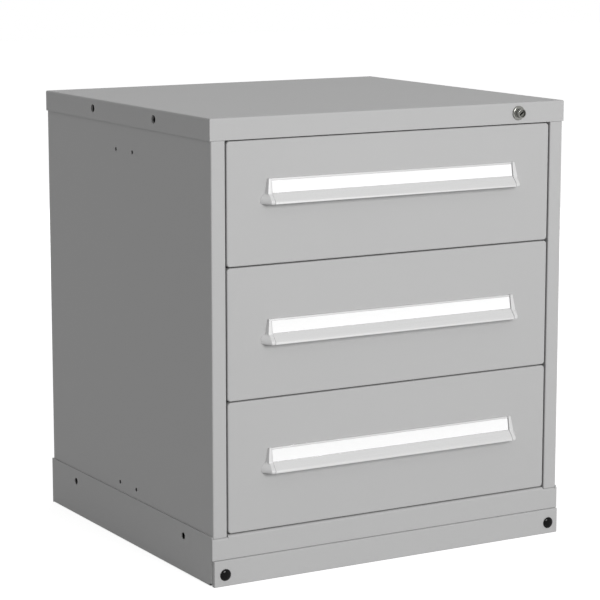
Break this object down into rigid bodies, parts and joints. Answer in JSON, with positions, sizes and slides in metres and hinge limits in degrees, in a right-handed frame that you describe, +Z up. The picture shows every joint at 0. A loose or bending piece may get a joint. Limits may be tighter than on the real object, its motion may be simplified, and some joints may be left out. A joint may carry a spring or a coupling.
{
  "type": "modular drawer cabinet",
  "caption": "Low folded sheet-metal drawer cabinet with full-width drawers, long label-channel handles, full-extension slides, a lock that bars every drawer, and a base with a toe plate.",
  "frame": {"origin": "on the floor under the middle of the cabinet, its handles included", "axes": "+Z up, the drawers open towards -Y, +X to the right as seen from the front"},
  "size_m": [0.767, 0.7262, 0.852],
  "materials": {
    "paint": "light grey powder coat on folded steel sheet, satin",
    "zinc": "zinc-plated rolled steel",
    "aluminium": "satin anodised extrusion",
    "cap_plastic": "light grey moulded plastic, satin",
    "label": "bare white card strip",
    "black_nylon": "black nylon, smooth",
    "chrome": "bright nickel chrome"
  },
  "bodies": {
    "cabinet": {"side_panel_left": "paint", "side_panel_right": "paint", "back_panel": "paint", "floor_pan": "paint", "top_rail_front": "paint", "top_rail_rear": "paint", "top_cover": "paint", "base_side_left": "paint", "base_side_right": "paint", "base_rail_front": "paint", "base_rail_rear": "paint", "toe_plate": "paint", "toe_plug_left": "black_nylon", "toe_plug_right": "black_nylon", "upright_front_left": "zinc", "upright_front_right": "zinc", "upright_rear_left": "zinc", "upright_rear_right": "zinc", "cabinet_rail_1_left": "zinc", "cabinet_rail_1_right": "zinc", "cabinet_rail_2_left": "zinc", "cabinet_rail_2_right": "zinc", "cabinet_rail_3_left": "zinc", "cabinet_rail_3_right": "zinc", "lock_housing": "chrome", "lock_nut": "zinc"},
    "drawer_1": {"drawer_front_1": "paint", "drawer_tray_1": "paint", "drawer_rail_1_left": "zinc", "drawer_rail_1_right": "zinc", "handle_1": "aluminium", "handle_cap_1_left": "cap_plastic", "handle_cap_1_right": "cap_plastic", "label_1": "label"},
    "drawer_2": {"drawer_front_2": "paint", "drawer_tray_2": "paint", "drawer_rail_2_left": "zinc", "drawer_rail_2_right": "zinc", "handle_2": "aluminium", "handle_cap_2_left": "cap_plastic", "handle_cap_2_right": "cap_plastic", "label_2": "label"},
    "drawer_3": {"drawer_front_3": "paint", "drawer_tray_3": "paint", "drawer_rail_3_left": "zinc", "drawer_rail_3_right": "zinc", "handle_3": "aluminium", "handle_cap_3_left": "cap_plastic", "handle_cap_3_right": "cap_plastic", "label_3": "label"},
    "carriage_1": {"carriage_1_left": "zinc", "carriage_1_right": "zinc"},
    "carriage_2": {"carriage_2_left": "zinc", "carriage_2_right": "zinc"},
    "carriage_3": {"carriage_3_left": "zinc", "carriage_3_right": "zinc"},
    "lock_barrel": {"lock_plug": "chrome", "lock_cam": "zinc"},
    "lock_bar": {"lock_bar": "zinc"}
  },
  "joints": [
    {"name": "drawer_1_slide", "type": "slide", "parent": "cabinet", "child": "drawer_1", "axis": [0, -1, 0], "range_m": [0, 0.61]},
    {"name": "drawer_2_slide", "type": "slide", "parent": "cabinet", "child": "drawer_2", "axis": [0, -1, 0], "range_m": [0, 0.61]},
    {"name": "drawer_3_slide", "type": "slide", "parent": "cabinet", "child": "drawer_3", "axis": [0, -1, 0], "range_m": [0, 0.61]},
    {"name": "carriage_1_slide", "type": "slide", "parent": "cabinet", "child": "carriage_1", "axis": [0, -1, 0], "range_m": [0, 0.3051]},
    {"name": "carriage_2_slide", "type": "slide", "parent": "cabinet", "child": "carriage_2", "axis": [0, -1, 0], "range_m": [0, 0.3051]},
    {"name": "carriage_3_slide", "type": "slide", "parent": "cabinet", "child": "carriage_3", "axis": [0, -1, 0], "range_m": [0, 0.3051]},
    {"name": "lock_bar_lift", "type": "slide", "parent": "cabinet", "child": "lock_bar", "axis": [0, 0, 1], "range_m": [0, 0.01555]},
    {"name": "lock_turn", "type": "hinge", "parent": "cabinet", "child": "lock_barrel", "pos_m": [0.277, -0.34345, 0.832], "axis": [0, 1, 0], "range_deg": [0, 90]}
  ],
  "couplings": [
    {"joint": "carriage_1_slide", "follows": "drawer_1_slide", "ratio": 0.5},
    {"joint": "carriage_2_slide", "follows": "drawer_2_slide", "ratio": 0.5},
    {"joint": "carriage_3_slide", "follows": "drawer_3_slide", "ratio": 0.5},
    {"joint": "lock_turn", "follows": "lock_bar_lift", "rad_per_m": 100.97}
  ]
}
